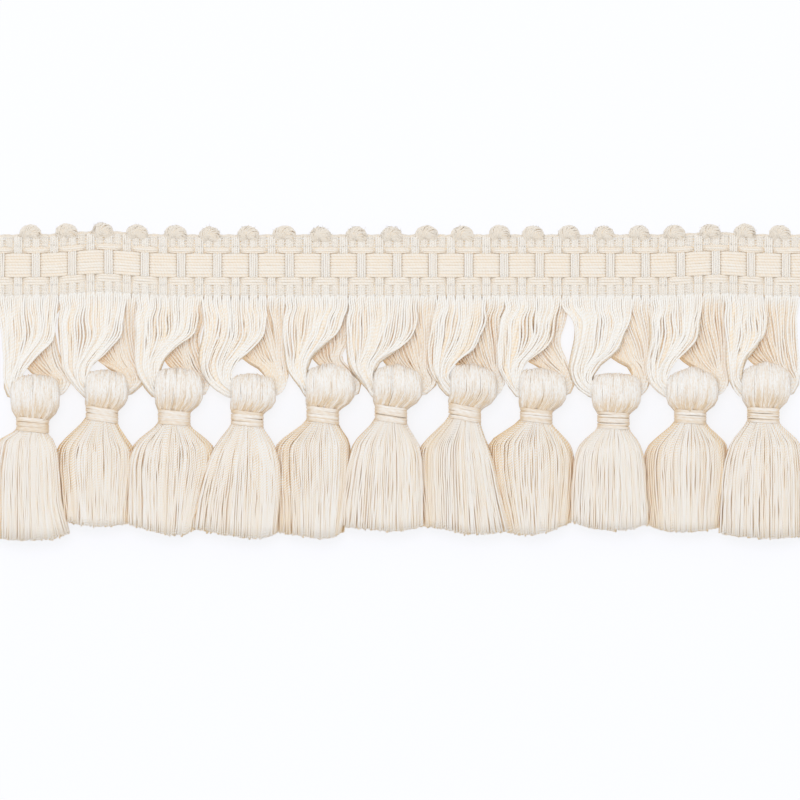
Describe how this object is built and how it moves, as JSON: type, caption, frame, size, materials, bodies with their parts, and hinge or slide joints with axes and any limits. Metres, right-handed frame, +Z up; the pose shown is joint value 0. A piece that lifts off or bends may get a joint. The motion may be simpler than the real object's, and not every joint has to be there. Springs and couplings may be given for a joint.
{
  "type": "tassel fringe trim",
  "caption": "Flat cut length of cream tassel fringe trim: a woven heading with a scalloped gimp edge, crossed yarn loops below it and bound tassels hung from the loops.",
  "frame": {"origin": "middle of the heading's flat back, on the surface the trim lies on", "axes": "+X along the trim, +Y across it from the tassels towards the gimp edge, +Z up from the surface, out of the trim's face"},
  "size_m": [0.1973, 0.0771, 0.0072],
  "materials": {
    "woven_tape": "woven rayon and cotton yarn, soft sheen",
    "gimp_cord": "matt fine-wound gimp cord",
    "loop_yarn": "soft slack-twisted yarn, slight sheen",
    "tassel_yarn": "rayon thread, soft silky sheen",
    "tie_thread": "soft binding thread"
  },
  "bodies": {
    "root": {"heading": "woven_tape", "picot_edge": "gimp_cord", "loop_fringe": "loop_yarn", "tassel_01": "tassel_yarn", "tassel_02": "tassel_yarn", "tassel_03": "tassel_yarn", "tassel_04": "tassel_yarn", "tassel_05": "tassel_yarn", "tassel_06": "tassel_yarn", "tassel_07": "tassel_yarn", "tassel_08": "tassel_yarn", "tassel_09": "tassel_yarn", "tassel_10": "tassel_yarn", "tassel_11": "tassel_yarn", "tie_01": "tie_thread", "tie_02": "tie_thread", "tie_03": "tie_thread", "tie_04": "tie_thread", "tie_05": "tie_thread", "tie_06": "tie_thread", "tie_07": "tie_thread", "tie_08": "tie_thread", "tie_09": "tie_thread", "tie_10": "tie_thread", "tie_11": "tie_thread"}
  },
  "joints": []
}
